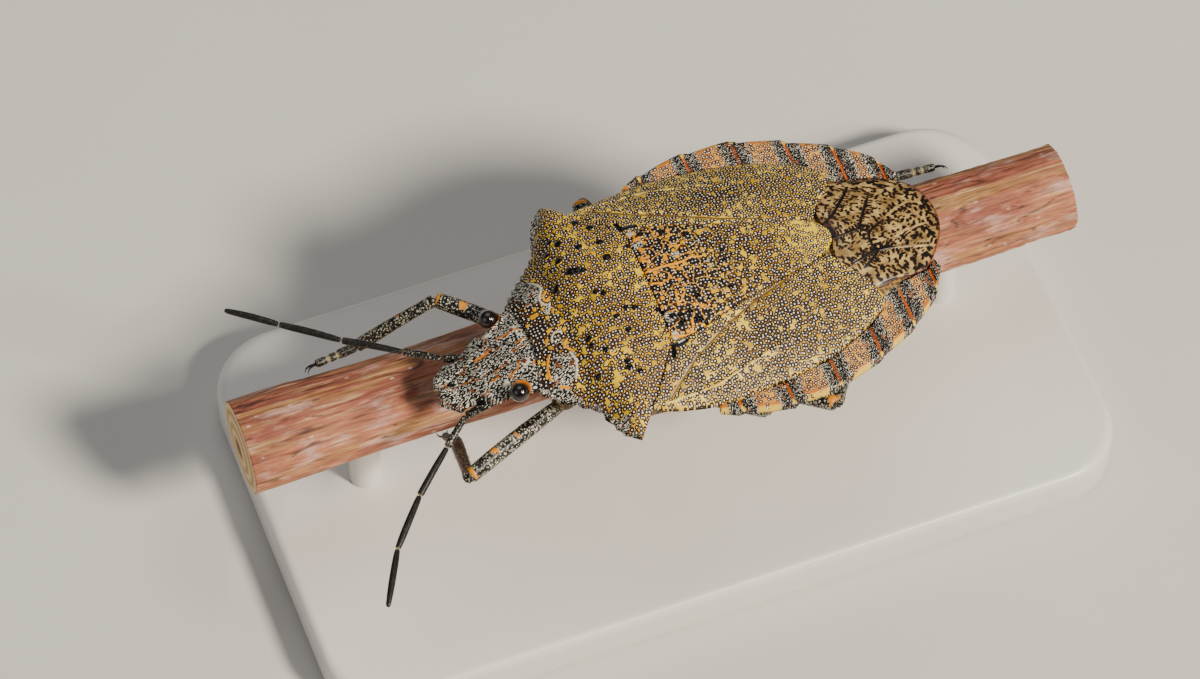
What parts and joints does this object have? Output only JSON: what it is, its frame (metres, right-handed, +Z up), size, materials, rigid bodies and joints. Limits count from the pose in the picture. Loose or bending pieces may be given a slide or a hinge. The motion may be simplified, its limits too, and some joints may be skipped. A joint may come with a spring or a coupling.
{
  "type": "shield bug",
  "caption": "Rough-backed bark-coloured shield bug, life size, gripping a cut length of twig on a plain display stand.",
  "frame": {"origin": "centre of the flat underside of the stand's base", "axes": "+X from the insect's head towards its wing tips, along the twig; +Y towards the insect's right; +Z up"},
  "size_m": [0.027, 0.014, 0.0108],
  "materials": {
    "head_cuticle": "black cuticle crowded with raised white worm-like flecks and orange streaks",
    "back_cuticle": "ochre cuticle crowded with dark pits, each with a white speck",
    "wing_membrane": "tan translucent-looking membrane with branching black-brown veins",
    "margin_cuticle": "banded black, white-flecked, orange and peach",
    "underside_cuticle": "pale tan cuticle with fine dark pits",
    "eye": "glossy, very dark brown",
    "antenna_cuticle": "black with pale rings at the joints",
    "leg_cuticle": "black with white flecks and orange patches",
    "bark": "reddish bark with long pale streaks",
    "stand_acrylic": "plain pale satin"
  },
  "bodies": {
    "root": {"head": "head_cuticle", "eye_left": "eye", "eye_right": "eye", "antenna_left": "antenna_cuticle", "antenna_right": "antenna_cuticle", "rostrum": "antenna_cuticle", "pronotum": "back_cuticle", "scutellum": "back_cuticle", "forewing_left_corium": "back_cuticle", "forewing_right_corium": "back_cuticle", "forewing_membrane": "wing_membrane", "connexivum_left": "margin_cuticle", "connexivum_right": "margin_cuticle", "thorax": "underside_cuticle", "abdomen": "underside_cuticle", "leg_front_left_femur": "leg_cuticle", "leg_front_left_tibia": "leg_cuticle", "leg_front_left_tarsus": "leg_cuticle", "leg_front_right_femur": "leg_cuticle", "leg_front_right_tibia": "leg_cuticle", "leg_front_right_tarsus": "leg_cuticle", "leg_mid_left_femur": "leg_cuticle", "leg_mid_left_tibia": "leg_cuticle", "leg_mid_left_tarsus": "leg_cuticle", "leg_mid_right_femur": "leg_cuticle", "leg_mid_right_tibia": "leg_cuticle", "leg_mid_right_tarsus": "leg_cuticle", "leg_hind_left_femur": "leg_cuticle", "leg_hind_left_tibia": "leg_cuticle", "leg_hind_left_tarsus": "leg_cuticle", "leg_hind_right_femur": "leg_cuticle", "leg_hind_right_tibia": "leg_cuticle", "leg_hind_right_tarsus": "leg_cuticle", "perch_twig": "bark", "stand_base": "stand_acrylic", "stand_rod_front": "stand_acrylic", "stand_rod_rear": "stand_acrylic"}
  },
  "joints": []
}
